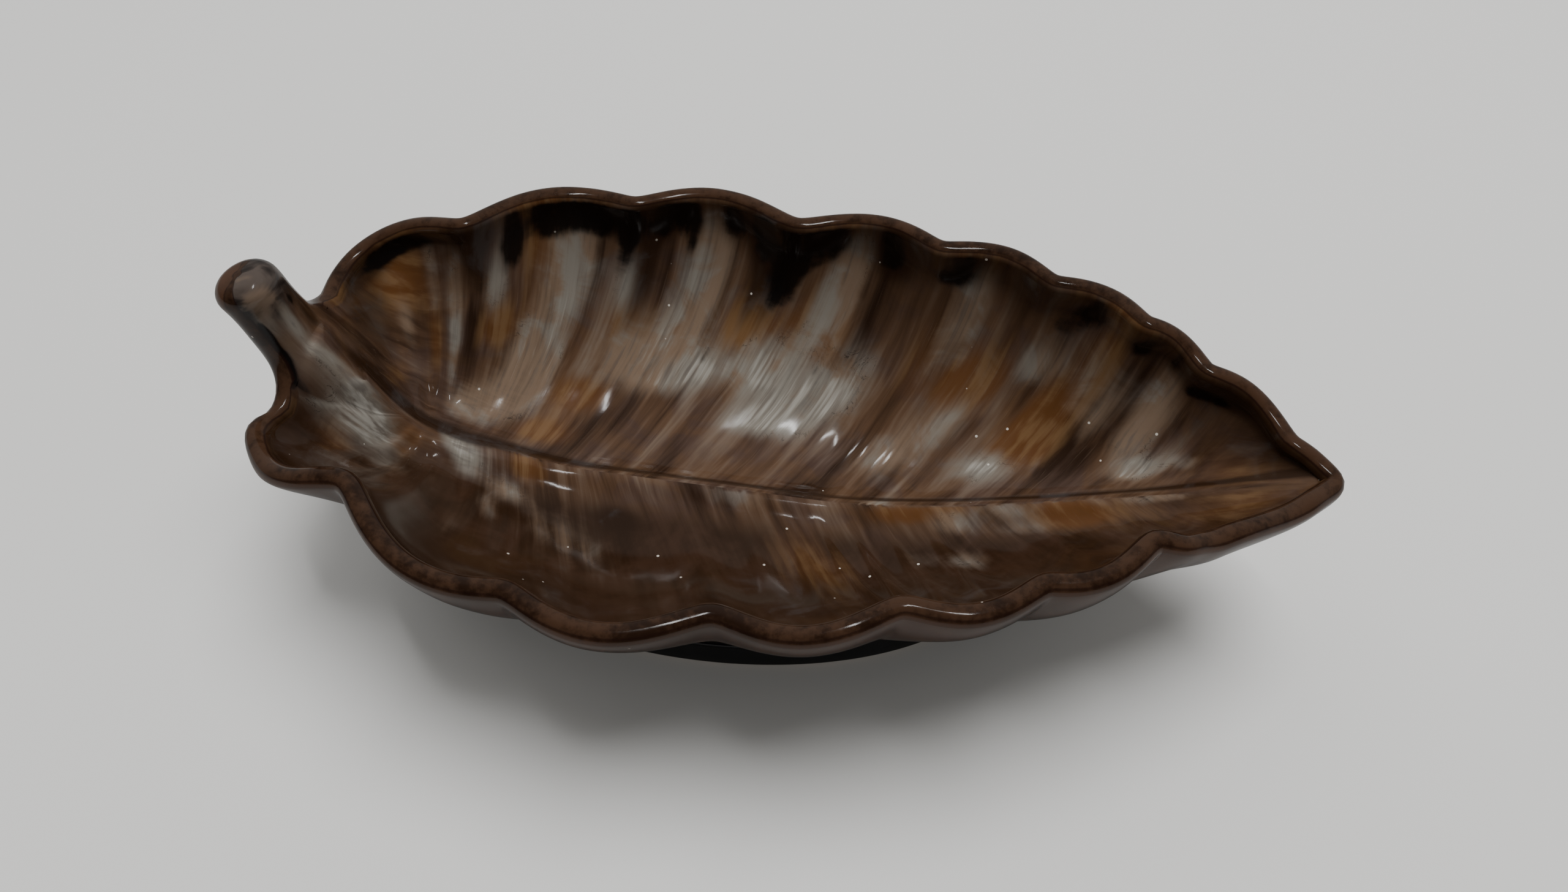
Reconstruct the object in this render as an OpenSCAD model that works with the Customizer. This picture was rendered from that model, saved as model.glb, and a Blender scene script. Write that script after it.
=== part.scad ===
/* [Leaf] */
// Length of the leaf blade along the middle of its lip, without the stem
leaf_l = 154.6; // [140:0.2:170]
// Half width of the blade across its widest notches
leaf_half_w = 37; // [34:0.2:40]
// Height of the middle of the lip at half length, above the table
rim_h = 38.4; // [36:0.2:42]
// Drop of the lip from half length to the tip
tip_drop = 5.6; // [4:0.2:8]
// Drop of the lip from half length to the notches beside the stem
crotch_drop = 5.8; // [4.6:0.2:6.2]
// Height of the inside floor above the table
floor_h = 9.8; // [9.4:0.2:12]
// Thickness of the wall below the lip
wall_t = 3.5; // [3:0.1:4]
// Width of the rolled lip
lip_w = 3.4; // [3:0.1:4]

/* [Flutes] */
// Swell of each lobe of the edge as a share of its chord
lobe_swell = 0.126; // [0.1:0.002:0.15]
// How many times more the two lobes beside the stem swell
first_swell = 2; // [1:0.1:2.2]
// Depth that a flute keeps on the wall as a share of its depth at the lip
flute_keep = 0.34; // [0.2:0.02:0.4]
// Height of the raised midrib along the blade
rib_h = 1.3; // [0.8:0.1:1.8]
// Extra height of the midrib where it runs into the stem
rib_root_h = 3.4; // [2:0.1:4]

/* [Stem] */
// Height of the face where the stem joins the blade, above the table
joint_h = 36; // [35.6:0.1:37]
// Half width of that face
joint_half_w = 6.2; // [5.6:0.1:6.8]
// Length of the stem from the joint to where its end begins to round off
stem_l = 11.4; // [9:0.2:16]
// Lean of the stem away from the bowl, from upright
stem_lean = 15; // [5:1:20]
// Radius of the stem near its end
stem_r = 4.8; // [4.4:0.1:5.2]

/* [Foot] */
// Length of the oval foot ring
foot_l = 100; // [94:0.5:102]
// Width of the foot ring
foot_w = 53; // [50:0.2:54]
// Height of the foot ring
foot_h = 8; // [7:0.2:8.6]
// Thickness of the foot ring
foot_t = 3.4; // [2.8:0.1:4]
// Height of the wiped edge that the foot stands on
wiped_h = 0.8; // [0.4:0.1:1.2]

/* [Hidden] */
glaze_brown = "#5b4032";
glaze_grey = "#6d625c";
glaze_black = "#17161b";

// Blade outline: half width is u^a (1-u)^b over the length fraction u
outline_a = 0.57;
outline_b = 0.86;
outline_top = pow(outline_a / (outline_a + outline_b), outline_a)
    * pow(outline_b / (outline_a + outline_b), outline_b);
blade_x0 = -leaf_l / 2;

// Length fraction of each notch of the lip, stem to tip, and of the vein's start on the midrib
notch_u = [0.0118, 0.1311, 0.2944, 0.4711, 0.6239, 0.7392, 0.8266, 0.8878, 0.968, 1];
vein_u = [0.078, 0.113, 0.2036, 0.339, 0.501, 0.617, 0.727, 0.8177, 0.915, 0.945];
stem_vein_u = 0.071;

// How far the hand-made lip strays there: share of the half width, and height against half length
notch_w_trim = [0.07, -0.064, 0.032, -0.012, 0.011, 0.04, -0.021, 0.012, 0, 0];
notch_z = [-crotch_drop, 0.3, -2, -2.1, 0, 0.8, 2.1, -1.2, -0.8 * tip_drop, -tip_drop];
tip_lobe = len(notch_u) - 2;

// Lines of the mesh: root lines up to the stem, then lines across each lobe
root_at = [0, 0.2, 0.4, 0.58, 0.74, 0.88];
lobe_lines = [8, 8, 8, 8, 8, 7, 6, 8, 4];
line_s = concat(
    [for (k = root_at) k - 1],
    [for (j = [0:tip_lobe], i = [0:lobe_lines[j] - 1]) j + i / lobe_lines[j]],
    [tip_lobe + 1]);
half_n = len(line_s) - 1;
loop_n = 2 * half_n;

lip_r = lip_w / 2;
belly_u = 0.54;
foot_back = 13;
foot_root_r = 4.5;
joint_back = 1.5;
wiped_inset = 0.6;

function clamp(v, a, b) = min(max(v, a), b);
function mix(a, b, t) = a + (b - a) * t;
function ease(t) = let (c = clamp(t, 0, 1)) c * c * (3 - 2 * c);
function unit(v) = v / norm(v);
function side_of(i) = i <= half_n ? 1 : -1;
function line_of(i) = i <= half_n ? i : loop_n - i;
function mirror_y(p, i) = [p[0], side_of(i) * p[1], p[2]];

// Blade outline, grown all round by d
function notch_before(u) = max([0, for (j = [0:tip_lobe]) if (u >= notch_u[j]) j]);
function along_notches(u, list) =
    let (j = notch_before(u))
    mix(list[j], list[j + 1], ease((u - notch_u[j]) / (notch_u[j + 1] - notch_u[j])));
function half_w(u, d) =
    (leaf_half_w + d) * pow(u, outline_a) * pow(1 - u, outline_b) / outline_top
        * (1 + along_notches(u, notch_w_trim));
function x_at(u, d) = blade_x0 - d + u * (leaf_l + 2 * d);
function u_at(x, d) = clamp((x - blade_x0 + d) / (leaf_l + 2 * d), 0, 1);

// Height of the lip and of the floor along the blade
function rim_z(u) = rim_h + along_notches(u, notch_z);
function floor_z(u) =
    let (tip = pow(max(u - belly_u, 0) / (1 - belly_u), 1.5),
         heel = ease((0.281 - u) / 0.16),
         wall = pow(max(0.346 - u, 0) / 0.331, 9))
    floor_h + (rim_z(1) - floor_h) * tip + 4 * heel + (rim_z(0.015) - floor_h - 4) * wall;

// Cross section from the floor to the lip: flat in the middle and steep at the edge, less so at the ends
function fullness(u) = 2.5 - 0.7 * ease((u - 0.7) / 0.3) - 1.1 * ease(1 - u / 0.3);
function steepness(u) = 1.5 - 0.3 * ease(1 - u / 0.3);
function section(b, u) = 1 - pow(1 - pow(clamp(b, 0, 1), fullness(u)), 1 / steepness(u));
function skin_z(x, y, d, drop) =
    let (u = u_at(x, d), z0 = floor_z(u) - drop)
    mix(z0, rim_z(u), section(abs(y) / max(half_w(u, d), 0.01), u));

// Each lobe of the lip, measured out from the blade outline
function lobe_of(s) = clamp(floor(s), 0, tip_lobe);
function wave(t, soft) = (sqrt(pow(sin(180 * t), 2) + soft * soft) - soft) / (sqrt(1 + soft * soft) - soft);
function lobe_wave(s, soft) =
    let (j = lobe_of(s), t = s - j)
    wave(j == tip_lobe ? t / 2 : j == 0 ? pow(max(t, 0), 0.7) : t, soft);
function rim_u(s) = s < 0
    ? notch_u[0] * pow(sin(90 * (s + 1)), 1 / outline_a)
    : mix(notch_u[lobe_of(s)], notch_u[lobe_of(s) + 1], s - lobe_of(s));
function start_u(s) = s < 0
    ? mix(stem_vein_u, vein_u[0], s + 1)
    : mix(vein_u[lobe_of(s)], vein_u[lobe_of(s) + 1], s - lobe_of(s));
function base_rim(s, d) = let (u = rim_u(s)) [x_at(u, d), half_w(u, d)];
function chord(j) = norm(base_rim(j, 0) - base_rim(j + 1, 0));
function swell(s) = s < 0 ? 0
    : let (j = lobe_of(s)) lobe_swell * chord(j) * (j == 0 ? first_swell : 1);
function base_normal(s) =
    let (c = clamp(s, 0.02, tip_lobe + 0.9),
         t = unit(base_rim(c + 0.02, 0) - base_rim(c - 0.02, 0)),
         n = [-t[1], t[0]])
    unit(mix(n, [1, 0], ease(s - tip_lobe)));
function lip_mid(s) = base_rim(s, 0) + base_normal(s) * swell(s) * lobe_wave(s, 0.2);
function lip_normal(s) = s >= tip_lobe + 0.99 ? [1, 0]
    : let (t = unit(lip_mid(s + 0.03) - lip_mid(max(s - 0.03, 0)))) [-t[1], t[0]];

// Joint face of the stem: its bowl side and its outer side, from the middle to the notch
function joint_y(s) = joint_half_w * sin(90 * (s + 1));
function joint_x(s, way) =
    x_at(notch_u[0], 0) - joint_back + way * (0.8 + s * 0.3 + (stem_r - 0.5) * cos(90 * (s + 1)));
function joint_point(s, way) = [joint_x(s, way), joint_y(s), joint_h];

// Raised midrib, which stands square to the floor
function rib_lift(x, y) =
    let (u = u_at(x, -lip_r), root = exp(-pow(u / 0.14, 2)))
    (rib_h * (1 - 0.6 * ease((u - 0.75) / 0.25)) + rib_root_h * root)
        * exp(-pow(y / (2.4 + 3.8 * root), 2));
function floor_normal(x) =
    let (u = u_at(x, -lip_r), slope = (floor_z(u + 0.004) - floor_z(u - 0.004)) / (0.008 * leaf_l))
    unit([-slope, 0, 1]);

// Inside of the bowl along one vein line, from the midrib, b = 0, to the lip, b = 1
function inside(s, b) =
    let (rim = base_rim(s, -lip_r),
         start = [x_at(start_u(s), -lip_r), 0],
         p = mix(start, rim, b),
         z = skin_z(p[0], p[1], -lip_r, 0),
         tilt = 70 * pow(1 - b, 0.8),
         n = base_normal(s),
         depth = swell(s) * lobe_wave(s, 0.2) * (flute_keep * b + (1 - flute_keep) * pow(b, 6)),
         out = [n[0] * cos(tilt), n[1] * cos(tilt), -sin(tilt)])
    [p[0], p[1], z] + depth * out + rib_lift(p[0], p[1]) * floor_normal(p[0]);
function inner_edge(s) = s < 0 ? joint_point(s, 1)
    : let (p = lip_mid(s) - lip_r * lip_normal(s)) [p[0], p[1], rim_z(rim_u(s))];
function outer_edge(s) = s < 0 ? joint_point(s, -1)
    : let (p = lip_mid(s) + lip_r * lip_normal(s)) [p[0], p[1], rim_z(rim_u(s))];
function lip_point(s, t) = s < 0
    ? mix(inner_edge(s), outer_edge(s), t)
    : mix(inner_edge(s), outer_edge(s), (1 - cos(180 * t)) / 2) + [0, 0, lip_r * sin(180 * t)];

// Outside of the bowl, from the lip, g = 0, to the foot, g = 1
foot_mid = x_at(0.5, 0) - foot_back;
function foot_oval(s, inset) =
    let (p = base_rim(s, 0), a = foot_l / 2 - inset, b = foot_w / 2 - inset,
         angle = atan2(p[1] / b, (p[0] - foot_mid) / a))
    [foot_mid + a * cos(angle), b * sin(angle)];
function outside(s, g) =
    let (edge = outer_edge(s), rim = base_rim(s, lip_r), seat = foot_oval(s, 0),
         p = mix(rim, seat, g), off = [edge[0], edge[1]] - rim,
         z = skin_z(p[0], p[1], lip_r, wall_t), lift = edge[2] - rim_z(rim_u(s)),
         fade = pow(1 - g, s < 1 ? 2.6 - 0.6 * max(s, 0) : 2), left = norm(rim - seat) * (1 - g),
         root = left < foot_root_r ? 1 - sqrt(1 - pow(1 - left / foot_root_r, 2)) : 0)
    [p[0] + off[0] * fade, p[1] + off[1] * fade, mix(z + lift * pow(1 - g, 8), foot_h, root)];
function belly(s, k) =
    let (ring = foot_oval(s, foot_t), p = [foot_mid, 0] + k * (ring - [foot_mid, 0]),
         z = skin_z(p[0], p[1], lip_r, wall_t), root = pow(clamp((k - 0.84) / 0.16, 0, 1), 3))
    [p[0], p[1], mix(z, foot_h, root)];

// Rows of points round the blade; the first is the midrib, shared by both sides
inside_b = [0.03, 0.062, 0.1, 0.155, 0.23, 0.32, 0.42, 0.53, 0.64, 0.74, 0.83, 0.905, 0.96];
lip_t = [0, 0.17, 0.34, 0.5, 0.66, 0.83, 1];
outside_g = [0.03, 0.08, 0.16, 0.28, 0.42, 0.57, 0.71, 0.83, 0.92, 0.975, 1];
belly_k = [1, 0.95, 0.88, 0.74, 0.55, 0.34, 0.15];
function loop(make) = [for (i = [0:loop_n - 1]) mirror_y(make(line_s[line_of(i)]), i)];
rows = concat(
    [for (b = inside_b) loop(function (s) inside(s, b))],
    [for (t = lip_t) loop(function (s) lip_point(s, t))],
    [for (g = outside_g) loop(function (s) g == 1
        ? concat(foot_oval(s, 0), [foot_h]) : outside(s, g))],
    [for (k = belly_k) loop(function (s) belly(s, k))]);
rib_row = [for (s = line_s) inside(s, 0)];
belly_mid = [foot_mid, 0, floor_z(0.5 - foot_back / leaf_l) - wall_t];
bowl_points = concat(rib_row, [for (row = rows) each row], [belly_mid]);

function next(i) = (i + 1) % loop_n;
function at(r, i) = half_n + 1 + r * loop_n + i;
function quad(a, b, c, d) = [[a, b, c], [a, c, d]];
rib_faces = [for (i = [0:loop_n - 1]) each
    line_of(i) == line_of(next(i)) ? []
        : quad(line_of(i), at(0, i), at(0, next(i)), line_of(next(i)))];
row_faces = [for (r = [0:len(rows) - 2], i = [0:loop_n - 1]) each
    quad(at(r, i), at(r + 1, i), at(r + 1, next(i)), at(r, next(i)))];
last_row = len(rows) - 1;
belly_faces = [for (i = [0:loop_n - 1]) [at(last_row, i), at(last_row + 1, 0), at(last_row, next(i))]];

bowl_faces = concat(rib_faces, row_faces, belly_faces);

// Stem: a ring of points at the joint face, carried up a leaning path and rounded at its end
joint_ring = concat(
    [for (k = root_at) joint_point(k - 1, -1)],
    [for (i = [len(root_at) - 1:-1:0]) joint_point(root_at[i] - 1, 1)],
    [for (i = [1:len(root_at) - 1]) mirror_y(joint_point(root_at[i] - 1, 1), half_n + 1)],
    [for (i = [len(root_at) - 1:-1:1]) mirror_y(joint_point(root_at[i] - 1, -1), half_n + 1)]);
joint_mid = [(joint_x(-1, 1) + joint_x(-1, -1)) / 2, 0, joint_h];
end_round = 2.6;
stem_rings = 8;
round_rings = 5;
function stem_ring(t, r, rise) =
    let (lean = stem_lean * ease(1.6 * t),
         tilt = stem_lean * 0.7 * t,
         mid = joint_mid + t * stem_l * [-sin(tilt), 0, cos(tilt)],
         flat = ease(1.15 * t),
         up = [-sin(lean), 0, cos(lean)],
         across = [cos(lean), 0, sin(lean)])
    [for (p = joint_ring)
        let (o = p - joint_mid, e = r * unit([o[0], o[1]]), q = mix([o[0], o[1]], e, flat))
        mid + up * rise + across * q[0] + [0, q[1], 0]];
stem_loops = concat(
    [for (i = [0:stem_rings]) stem_ring(i / stem_rings, stem_r, 0)],
    [for (i = [1:round_rings]) let (a = 90 * i / round_rings)
        stem_ring(1, stem_r - end_round * (1 - cos(a)), end_round * sin(a))]);
ring_n = len(joint_ring);
stem_points = [for (ring = stem_loops) each ring];
stem_faces = concat(
    [[for (i = [ring_n - 1:-1:0]) i]],
    [for (r = [0:len(stem_loops) - 2], i = [0:ring_n - 1]) let (j = (i + 1) % ring_n)
        each quad(r * ring_n + j, (r + 1) * ring_n + j, (r + 1) * ring_n + i, r * ring_n + i)],
    [[for (i = [0:ring_n - 1]) (len(stem_loops) - 1) * ring_n + i]]);

// Origin: middle of the whole dish on the table
all_x = concat([for (p = bowl_points) p[0]], [for (p = stem_points) p[0]]);
shift_x = -(min(all_x) + max(all_x)) / 2;

module oval(inset) {
    polygon([for (i = [0:95]) let (a = i * 3.75)
        [foot_mid + (foot_l / 2 - inset) * cos(a), (foot_w / 2 - inset) * sin(a)]]);
}
module oval_band(outer, inner) {
    difference() {
        oval(outer);
        oval(inner);
    }
}
module leaf_bowl() {
    color(glaze_brown)
        translate([shift_x, 0, 0])
            polyhedron(points = bowl_points, faces = bowl_faces);
}
module stem_handle() {
    color(glaze_grey)
        translate([shift_x, 0, 0])
            polyhedron(points = stem_points, faces = stem_faces);
}
module foot_ring() {
    color(glaze_black)
        translate([shift_x, 0, 0]) {
            linear_extrude(wiped_h)
                oval_band(wiped_inset, foot_t - wiped_inset);
            translate([0, 0, wiped_h])
                linear_extrude(foot_h - wiped_h)
                    oval_band(0, foot_t);
        }
}
leaf_bowl();
stem_handle();
foot_ring();
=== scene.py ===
# Leaf ring dish in streaked brown glaze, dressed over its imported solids
import math

import bmesh
import bpy
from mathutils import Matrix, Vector, kdtree, noise


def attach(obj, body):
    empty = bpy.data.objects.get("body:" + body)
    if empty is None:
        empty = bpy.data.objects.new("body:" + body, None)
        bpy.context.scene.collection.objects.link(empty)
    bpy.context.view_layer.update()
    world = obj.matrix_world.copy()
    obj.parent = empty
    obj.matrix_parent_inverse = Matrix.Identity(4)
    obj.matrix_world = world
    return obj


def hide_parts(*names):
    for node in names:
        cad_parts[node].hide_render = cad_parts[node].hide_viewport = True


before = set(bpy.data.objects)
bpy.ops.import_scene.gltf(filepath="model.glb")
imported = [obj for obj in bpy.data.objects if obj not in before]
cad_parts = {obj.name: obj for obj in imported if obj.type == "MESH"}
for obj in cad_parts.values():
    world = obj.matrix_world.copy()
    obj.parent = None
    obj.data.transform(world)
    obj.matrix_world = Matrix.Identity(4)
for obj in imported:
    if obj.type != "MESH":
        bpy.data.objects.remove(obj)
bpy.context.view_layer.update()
mm = 0.001

print("camera, floor and lights")
view = {
    "place": (16.95, -101.16, 165.99),  # mm from the middle of the dish on the table
    "turn": 8.94,                       # degrees to the left of straight across the leaf
    "dip": 54.0,                        # degrees below level
    "focal": 1850 / 2560 * 36,          # 1850 px over a 2560 px wide picture
}
studio = {
    "floorSize": 6.0,
    "floorTone": (0.615, 0.612, 0.6),
    "keySize": (0.7, 0.7),
    "keyPlace": (0.18, 0.21, 1.1),
    "keyPower": 15.0,
    "glintSize": (0.05, 0.36),
    "glintPlace": (0.06, -0.08, 1.25),
    "glintPower": 1.3,
    "fillSize": (1.2, 1.2),
    "fillPlace": (-0.7, 0.5, 1.2),
    "fillPower": 5.0,
    "skyTone": (1.0, 0.985, 0.955),
    "skyLight": 0.36,
    "roomShine": (0.02, 0.2),   # what gloss sees of the room in front of the dish and behind it
    "floorShine": 0.4,          # how much of the floor gloss sees
}


def setCamera():
    camera = bpy.data.objects.new("photoCamera", bpy.data.cameras.new("photoCamera"))
    bpy.context.scene.collection.objects.link(camera)
    camera.data.sensor_width = 36
    camera.data.lens = view["focal"]
    camera.data.clip_start = 0.01
    camera.location = Vector(view["place"]) * mm
    camera.rotation_euler = (math.radians(90 - view["dip"]), 0, math.radians(view["turn"]))
    bpy.context.scene.camera = camera


def addSoftbox(name, place, size, power, shines):
    lamp = bpy.data.lights.new(name, "AREA")
    lamp.shape = "ELLIPSE"
    lamp.size, lamp.size_y = size
    lamp.energy = power
    box = bpy.data.objects.new(name, lamp)
    box.location = place
    box.visible_glossy = shines
    box.rotation_euler = (Vector((0, 0, 0.02)) - Vector(place)).to_track_quat("-Z", "Y").to_euler()
    bpy.context.scene.collection.objects.link(box)


# Shader maths as plain expressions: a Socket adds one Math node for each operator
class Socket:
    def __init__(self, maker, link):
        self.maker = maker
        self.link = link

    def math(self, operation, first, second=0.0):
        return self.maker.add("Math", {"operation": operation}, {0: first, 1: second})

    def __add__(self, other):
        return self.math("ADD", self, other)

    def __radd__(self, other):
        return self.math("ADD", other, self)

    def __sub__(self, other):
        return self.math("SUBTRACT", self, other)

    def __rsub__(self, other):
        return self.math("SUBTRACT", other, self)

    def __mul__(self, other):
        return self.math("MULTIPLY", self, other)

    def __rmul__(self, other):
        return self.math("MULTIPLY", other, self)

    def __truediv__(self, other):
        return self.math("DIVIDE", self, other)

    def __rtruediv__(self, other):
        return self.math("DIVIDE", other, self)

    def __pow__(self, other):
        return self.math("POWER", self, other)

    def __abs__(self):
        return self.math("ABSOLUTE", self)


class Finish:
    def __init__(self, owner):
        self.owner = owner
        owner.use_nodes = True
        self.tree = owner.node_tree
        self.tree.nodes.clear()

    # Any node: its type, its settings first, then its sockets, by name or number
    def add(self, kind, settings=None, sockets=None, out=0):
        node = self.tree.nodes.new("ShaderNode" + kind)
        for key, value in (settings or {}).items():
            if key == "stops":
                while len(node.color_ramp.elements) < len(value):
                    node.color_ramp.elements.new(0.5)
                for element, (place, tone) in zip(node.color_ramp.elements, value):
                    element.position = place
                    element.color = (*tone, 1)
            else:
                setattr(node, key, value)
        for key, value in (sockets or {}).items():
            if isinstance(value, Socket):
                self.tree.links.new(value.link, node.inputs[key])
            else:
                node.inputs[key].default_value = value
        return Socket(self, node.outputs[out]) if len(node.outputs) else None

    def blend(self, factor, under, over, mode="MIX"):
        tones = [tone if isinstance(tone, Socket) else (*tone, 1) for tone in (under, over)]
        settings = {"data_type": "RGBA", "blend_type": mode, "clamp_factor": True}
        return self.add("Mix", settings, {0: factor, 6: tones[0], 7: tones[1]}, out=2)

    def smooth(self, value, low, high):
        settings = {"interpolation_type": "SMOOTHSTEP"}
        return self.add("MapRange", settings, {0: value, 1: low, 2: high, 3: 0.0, 4: 1.0})

    def cloud(self, vector, scale, detail=2.0, rough=0.5, distort=0.0):
        sockets = {"Vector": vector, "Scale": scale, "Detail": detail, "Roughness": rough, "Distortion": distort}
        return self.add("TexNoise", None, sockets)

    def stretch(self, vector, scale, shift=(0, 0, 0)):
        scaled = self.add("VectorMath", {"operation": "MULTIPLY"}, {0: vector, 1: scale})
        return self.add("VectorMath", {"operation": "ADD"}, {0: scaled, 1: shift})

    def bend(self, vector, scale, amount):
        push = self.add("TexNoise", None, {"Vector": vector, "Scale": scale, "Detail": 2.0}, out=1)
        push = self.add("VectorMath", {"operation": "SUBTRACT"}, {0: push, 1: (0.5, 0.5, 0.5)})
        push = self.add("VectorMath", {"operation": "MULTIPLY"}, {0: push, 1: amount})
        return self.add("VectorMath", {"operation": "ADD"}, {0: vector, 1: push})

    def close(self, **sockets):
        shader = self.add("BsdfPrincipled", None, {key.replace("_", " "): value for key, value in sockets.items()})
        self.add("OutputMaterial", None, {"Surface": shader})
        return self.owner


def newFinish(name):
    return Finish(bpy.data.materials.new(name))


def makeFloor():
    mesh = bpy.data.meshes.new("tableTop")
    bm = bmesh.new()
    bmesh.ops.create_grid(bm, x_segments=1, y_segments=1, size=studio["floorSize"] / 2)
    bm.to_mesh(mesh)
    bm.free()
    table = bpy.data.objects.new("tableTop", mesh)
    bpy.context.scene.collection.objects.link(table)
    paint = newFinish("paleTable")
    place = paint.add("TexCoord", None, None, out=3)
    tone = studio["floorTone"]
    soft = paint.cloud(place, 3.0)
    darker = tuple(0.97 * part for part in tone)
    # Painted shade in reflections: gloss sees the floor darker, as if the floor round the dish lay in shadow
    glossy = paint.add("LightPath", out=3)
    seen = paint.blend(soft, darker, tone)
    floorShadeInGloss = tuple(studio["floorShine"] * part for part in tone)
    mesh.materials.append(paint.close(Base_Color=paint.blend(glossy, seen, floorShadeInGloss), Roughness=0.75))


def lightWorld():
    room = Finish(bpy.data.worlds.new("studioRoom"))
    bpy.context.scene.world = room.owner
    facing = room.add("TexCoord")
    across = room.add("SeparateXYZ", None, {0: facing}, out=1)
    front, back = studio["roomShine"]
    shine = front + room.smooth(across, -0.5, 0.9) * (back - front)
    glossy = room.add("LightPath", out=3)
    strength = studio["skyLight"] + glossy * (shine - studio["skyLight"])
    sky = room.add("Background", None, {"Color": (*studio["skyTone"], 1), "Strength": strength})
    room.add("OutputWorld", None, {"Surface": sky})


setCamera()
makeFloor()
lightWorld()
for lampName in ("key", "glint", "fill"):
    addSoftbox(lampName, studio[lampName + "Place"], studio[lampName + "Size"],
               studio[lampName + "Power"], lampName == "glint")

print("leaf shape")
leaf = {
    "length": 154.6,      # blade along the middle of its lip, mm
    "halfWidth": 37.0,    # across its widest notches
    "rimZ": 38.4,         # middle of the lip at half length
    "tipDrop": 5.6,
    "crotchDrop": 5.8,
    "floorZ": 9.8,
    "wall": 3.5,
    "lip": 3.4,           # width of the rolled lip
    "swell": 0.126,       # bulge of each lobe over its chord
    "firstSwell": 2.0,    # how many times more beside the stem
    "fluteKeep": 0.34,    # flute depth kept down the wall
    "rib": 1.3,
    "ribRoot": 3.4,
    "outlineA": 0.57,     # half width is u^a (1-u)^b
    "outlineB": 0.86,
    "bellyU": 0.54,
    "notchU": (0.0118, 0.1311, 0.2944, 0.4711, 0.6239, 0.7392, 0.8266, 0.8878, 0.968, 1),
    "veinU": (0.078, 0.113, 0.2036, 0.339, 0.501, 0.617, 0.727, 0.8177, 0.915, 0.945),
    "stemVeinU": 0.071,
    "notchTrim": (0.07, -0.064, 0.032, -0.012, 0.011, 0.04, -0.021, 0.012, 0, 0),
    "notchRise": (-5.8, 0.3, -2, -2.1, 0, 0.8, 2.1, -1.2, -4.48, -5.6),
    "jointZ": 36.0,
    "jointHalfWidth": 6.2,
    "jointBack": 1.5,
    "stemLength": 11.4,
    "stemLean": 15.0,
    "stemRadius": 4.8,
    "stemRound": 2.6,
    "footLength": 100.0,
    "footWidth": 53.0,
    "footZ": 8.0,
    "footWall": 3.4,
    "footBack": 13.0,
    "footRoot": 4.5,
    "wipedZ": 0.8,
    "wipedInset": 0.6,
    "frameMiddle": -1.948,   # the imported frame's middle along the leaf
}
tipLobe = len(leaf["notchU"]) - 2
lipRadius = leaf["lip"] / 2
bladeStart = -leaf["length"] / 2
outlineTop = (leaf["outlineA"] / (leaf["outlineA"] + leaf["outlineB"])) ** leaf["outlineA"] \
    * (leaf["outlineB"] / (leaf["outlineA"] + leaf["outlineB"])) ** leaf["outlineB"]


def clamp(value, low, high):
    return min(max(value, low), high)


def mix(a, b, t):
    return a + (b - a) * t


def ease(t):
    c = clamp(t, 0, 1)
    return c * c * (3 - 2 * c)


def sinDeg(angle):
    return math.sin(math.radians(angle))


def cosDeg(angle):
    return math.cos(math.radians(angle))


# Blade outline, grown all round by a distance
def alongNotches(u, values):
    notchU = leaf["notchU"]
    j = max(k for k in range(tipLobe + 1) if k == 0 or u >= notchU[k])
    return mix(values[j], values[j + 1], ease((u - notchU[j]) / (notchU[j + 1] - notchU[j])))


def halfWidth(u, grow):
    outline = u ** leaf["outlineA"] * max(1 - u, 0) ** leaf["outlineB"] / outlineTop
    return (leaf["halfWidth"] + grow) * outline * (1 + alongNotches(u, leaf["notchTrim"]))


def xAt(u, grow):
    return bladeStart - grow + u * (leaf["length"] + 2 * grow)


def uAt(x, grow):
    return clamp((x - bladeStart + grow) / (leaf["length"] + 2 * grow), 0, 1)


# Heights along the blade and across it
def rimHeight(u):
    return leaf["rimZ"] + alongNotches(u, leaf["notchRise"])


def floorHeight(u):
    tip = (max(u - leaf["bellyU"], 0) / (1 - leaf["bellyU"])) ** 1.5
    heel = ease((0.281 - u) / 0.16)
    wall = (max(0.346 - u, 0) / 0.331) ** 9
    low = leaf["floorZ"]
    return low + (rimHeight(1) - low) * tip + 4 * heel + (rimHeight(0.015) - low - 4) * wall


def section(b, u):
    fullness = 2.5 - 0.7 * ease((u - 0.7) / 0.3) - 1.1 * ease(1 - u / 0.3)
    steepness = 1.5 - 0.3 * ease(1 - u / 0.3)
    return 1 - (1 - clamp(b, 0, 1) ** fullness) ** (1 / steepness)


def skinHeight(x, y, grow, drop):
    u = uAt(x, grow)
    return mix(floorHeight(u) - drop, rimHeight(u), section(abs(y) / max(halfWidth(u, grow), 0.01), u))


# Lobes of the lip, counted by s: a whole number at each notch, below 0 under the stem
def lobeOf(s):
    return int(clamp(math.floor(s), 0, tipLobe))


def lobeWave(s):
    j = lobeOf(s)
    t = s - j
    if j == tipLobe:
        t = t / 2
    elif j == 0:
        t = max(t, 0) ** 0.7
    soft = 0.2
    top = math.sqrt(1 + soft * soft) - soft
    return (math.sqrt(sinDeg(180 * t) ** 2 + soft * soft) - soft) / top


def rimU(s):
    notchU = leaf["notchU"]
    if s < 0:
        return notchU[0] * sinDeg(90 * (s + 1)) ** (1 / leaf["outlineA"])
    return mix(notchU[lobeOf(s)], notchU[lobeOf(s) + 1], s - lobeOf(s))


def startU(s):
    veinU = leaf["veinU"]
    if s < 0:
        return mix(leaf["stemVeinU"], veinU[0], s + 1)
    return mix(veinU[lobeOf(s)], veinU[lobeOf(s) + 1], s - lobeOf(s))


def baseRim(s, grow=0.0):
    u = rimU(s)
    return Vector((xAt(u, grow), halfWidth(u, grow)))


chords = [(baseRim(j) - baseRim(j + 1)).length for j in range(tipLobe + 1)]


def swell(s):
    if s < 0:
        return 0.0
    return leaf["swell"] * chords[lobeOf(s)] * (leaf["firstSwell"] if lobeOf(s) == 0 else 1)


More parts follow.
